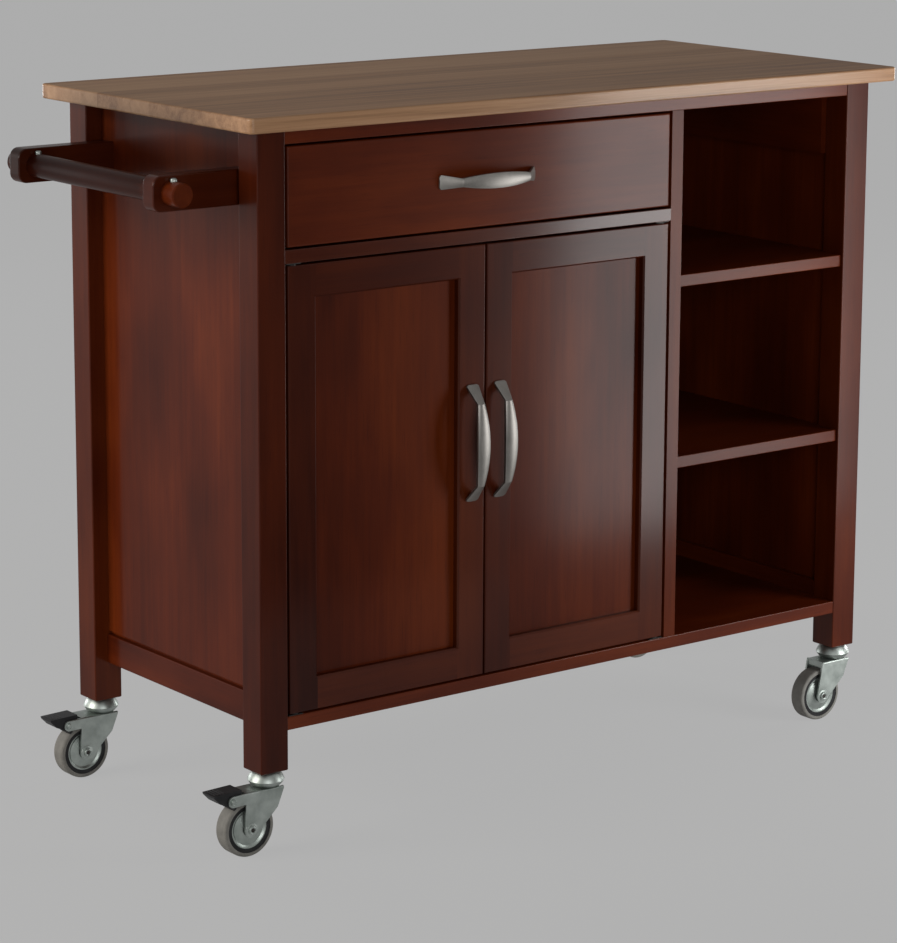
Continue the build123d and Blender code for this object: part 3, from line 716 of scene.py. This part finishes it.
back_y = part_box("back_panel")[1].y
rail_low, rail_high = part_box("rear_top_rail")
wall_low, wall_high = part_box("divider")
shelf_low, shelf_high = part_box("open_shelves")
SHELF_HALF = 7.5 * MM
RAIL_MARGIN, WALL_MARGIN, SHELF_MARGIN = 30 * MM, 70 * MM, 60 * MM
back_places = []
for x in between(rail_low.x, rail_high.x, 6, RAIL_MARGIN):
    back_places.append(((x, back_y, (rail_low.z + rail_high.z) / 2), BACKWARD))
for z in between(wall_low.z, rail_low.z, 5, WALL_MARGIN):
    back_places.append((((wall_low.x + wall_high.x) / 2, back_y, z), BACKWARD))
for z in (shelf_low.z + SHELF_HALF, shelf_high.z - SHELF_HALF):
    for x in between(shelf_low.x, shelf_high.x, 2, SHELF_MARGIN):
        back_places.append(((x, back_y, z), BACKWARD))
add_piece("back_screws", stamp(wood_screw, back_places), zinc, "carcass")

SHEET, RUNNER_MARGIN = 1.2 * MM, 35 * MM
run_low, run_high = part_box("drawer_runners")
runner_places = []
for y in between(run_low.y, run_high.y, 3, RUNNER_MARGIN):
    for x, facing in ((run_low.x + SHEET, RIGHTWARD), (run_high.x - SHEET, LEFTWARD)):
        runner_places.append(((x, y, (run_low.z + run_high.z) / 2), facing))
add_piece("runner_screws", stamp(runner_screw, runner_places), zinc, "carcass")

PIN_RADIUS, HOLE_PITCH = 2.5 * MM, 32 * MM
pin_low, pin_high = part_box("shelf_pins")
post_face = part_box("post_front_left")[1].x
cap_places = []
for y in (pin_low.y + PIN_RADIUS, pin_high.y - PIN_RADIUS):
    for row in (-2, -1, 1, 2):
        z = pin_low.z + PIN_RADIUS + row * HOLE_PITCH
        cap_places.append(((post_face, y, z), RIGHTWARD))
        cap_places.append(((wall_low.x, y, z), LEFTWARD))
add_piece("hole_caps", stamp(pin_hole_cap, cap_places), plastic, "carcass")

board_low, board_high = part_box("bottom_board")
CAM_INSET, CAM_MARGIN = 34 * MM, 70 * MM
cam_places = []
for x in between(shelf_low.x, shelf_high.x, 2, CAM_INSET):
    for y in between(shelf_low.y, shelf_high.y, 2, CAM_MARGIN):
        for z in (shelf_low.z, shelf_high.z - 2 * SHELF_HALF):
            cam_places.append(((x, y, z), DOWN))
for x in (*between(board_low.x, board_high.x, 2, CAM_INSET), wall_low.x - CAM_INSET):
    for y in between(board_low.y, board_high.y, 2, CAM_MARGIN):
        cam_places.append(((x, y, board_low.z), DOWN))
add_piece("cam_caps", stamp(cam_cap, cam_places), plastic, "carcass")
print(len(back_places), "back screws,", len(cap_places) + len(cam_places), "caps")

# %% Pivot plates and catch
PLATE, PLATE_HALF, SCREW_REACH = 1.0 * MM, 10 * MM, 8 * MM
plate_low, plate_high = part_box("door_pivot_pins")
pivot_places = []
for centre in (plate_low.x + PLATE_HALF, plate_high.x - PLATE_HALF):
    for side in (-1, 1):
        spot = (centre + side * SCREW_REACH, (plate_low.y + plate_high.y) / 2)
        pivot_places.append(((*spot, plate_low.z + PLATE), UP))
        pivot_places.append(((*spot, plate_high.z - PLATE), DOWN))
add_piece("pivot_screws", stamp(small_screw, pivot_places), dark_steel_and_shade, "carcass")

catch_low, catch_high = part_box("door_catch")
catch_middle = (catch_low + catch_high) / 2
MAGNET_REACH, POLE_REACH, POLE_PROUD = 13 * MM, 4 * MM, 0.2 * MM
POLE_SIZE, POLE_BEVEL = Vector((1.2, 6.0, 9.0)) * MM, 0.15 * MM
CATCH_SCREW_INSET = 11 * MM

# Two steel plates for each magnet stand a hair out of the catch's face.
pole_y = catch_low.y + POLE_SIZE.y / 2 - POLE_PROUD
pole_places = []
for magnet in (-1, 1):
    for side in (-1, 1):
        pole_x = catch_middle.x + magnet * MAGNET_REACH + side * POLE_REACH
        pole_places.append((pole_x, pole_y, catch_middle.z))
poles = rounded_boxes(pole_places, POLE_SIZE, POLE_BEVEL, 1)
add_piece("catch_poles", poles, zinc, "carcass")
catch_places = [((catch_middle.x, catch_low.y + CATCH_SCREW_INSET, catch_low.z), DOWN)]
add_piece("catch_screw", stamp(wood_screw, catch_places), zinc, "carcass")
print(len(pivot_places), "pivot screws")

# %% [markdown]
# ## Screws of the doors and drawer
# A pull is held by two screws from behind, level with its feet, so their heads show inside the
# doors and the drawer. Each door also has the screw that holds its strike plate.

# %% Screws of the doors and drawer
FOOT_REACH, STRIKE_SCREW_DROP = 60 * MM, 25 * MM
for door in ("left_door", "right_door"):
    pull_low, pull_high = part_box(f"{door}_pull")
    back_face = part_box(f"{door}_stiles")[1].y
    fit_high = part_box(f"{door}_fittings")[1]
    x, z = (pull_low.x + pull_high.x) / 2, (pull_low.z + pull_high.z) / 2
    door_places = [((x, back_face, z + side * FOOT_REACH), BACKWARD) for side in (-1, 1)]
    add_piece(f"{door}_screws", stamp(pull_screw, door_places), zinc, door)
    strike_place = ((x, fit_high.y, fit_high.z - STRIKE_SCREW_DROP), BACKWARD)
    strike_screw = stamp(small_screw, [strike_place])
    add_piece(f"{door}_strike_screw", strike_screw, dark_steel_and_shade, door)

pull_low, pull_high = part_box("drawer_pull")
back_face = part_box("drawer_front")[1].y
x, z = (pull_low.x + pull_high.x) / 2, (pull_low.z + pull_high.z) / 2
drawer_places = [((x + side * FOOT_REACH, back_face, z), BACKWARD) for side in (-1, 1)]
add_piece("drawer_screws", stamp(pull_screw, drawer_places), zinc, "drawer")
print("pull screws at", round(FOOT_REACH, 3), "from the middle")

# %% [markdown]
# ## Caster details
# The axle and the pedal's pivot are hollow rivets, rolled over outside the fork. A dark disc sits
# in the hollow of each axle rivet as painted shade for its deep hole, so a dark eye shows in the
# middle of each wheel. The axle's rivet bears on a washer, which the rivet's height sets back from
# the rolled end. The pedals have ribs across the tread for the foot.

# %% Caster details
joint_places = {joint["name"]: Vector(joint["pos_m"]) for joint in frame["joints"]}
BRAKED = ("front_left", "rear_left")
RIVET_HEIGHT = 1.8 * MM
RIB_SIZE = Vector((1.6, 20.0, 1.4)) * MM
RIB_PITCH, RIB_SINK, RIB_BEVEL = 4 * MM, 0.9 * MM, 0.5 * MM


def pedal_ribs(place):
    """Four half-round ribs across the pedal's tread."""
    low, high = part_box(f"brake_pedal_{place}")
    middle_y, rib_z = (low.y + high.y) / 2, high.z - RIB_SINK
    spots = [(low.x + step * RIB_PITCH, middle_y, rib_z) for step in (1, 2, 3, 4)]
    return rounded_boxes(spots, RIB_SIZE, RIB_BEVEL, 3)


for place in ("front_left", "front_right", "rear_left", "rear_right"):
    axle = joint_places[f"wheel_spin_{place}"]
    fork_low, fork_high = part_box(f"fork_{place}")
    faces = ((fork_low.y, FORWARD), (fork_high.y, BACKWARD))
    rims = stamp(axle_rim, [((axle.x, y, axle.z), facing) for y, facing in faces])
    add_piece(f"axle_rims_{place}", rims, zinc, f"caster_{place}")
    # Dark discs of painted shade in the hollows of the axle rivets.
    shade_discs = stamp(painted_shade_spot, [((axle.x, y, axle.z), facing) for y, facing in faces])
    add_piece(f"axle_painted_shade_{place}", shade_discs, dark_steel_and_shade, f"caster_{place}")
    cheeks = [((axle.x, y - RIVET_HEIGHT * facing[1], axle.z), facing) for y, facing in faces]
    add_piece(f"washers_{place}", stamp(washer, cheeks), zinc, f"caster_{place}")
    if place in BRAKED:
        pivot = joint_places[f"brake_{place}"]
        rims = stamp(pivot_rim, [((pivot.x, y, pivot.z), facing) for y, facing in faces])
        add_piece(f"pivot_rims_{place}", rims, zinc, f"caster_{place}")
        ribs = pedal_ribs(place)
        add_piece(f"pedal_ribs_{place}", ribs, plastic, f"pedal_{place}")
print("axle height", round(joint_places["wheel_spin_front_left"].z, 3))

# %% [markdown]
# ## End
# Every fitting stays inside the outline of the solids.

# %% Finish
print("cart dressed")
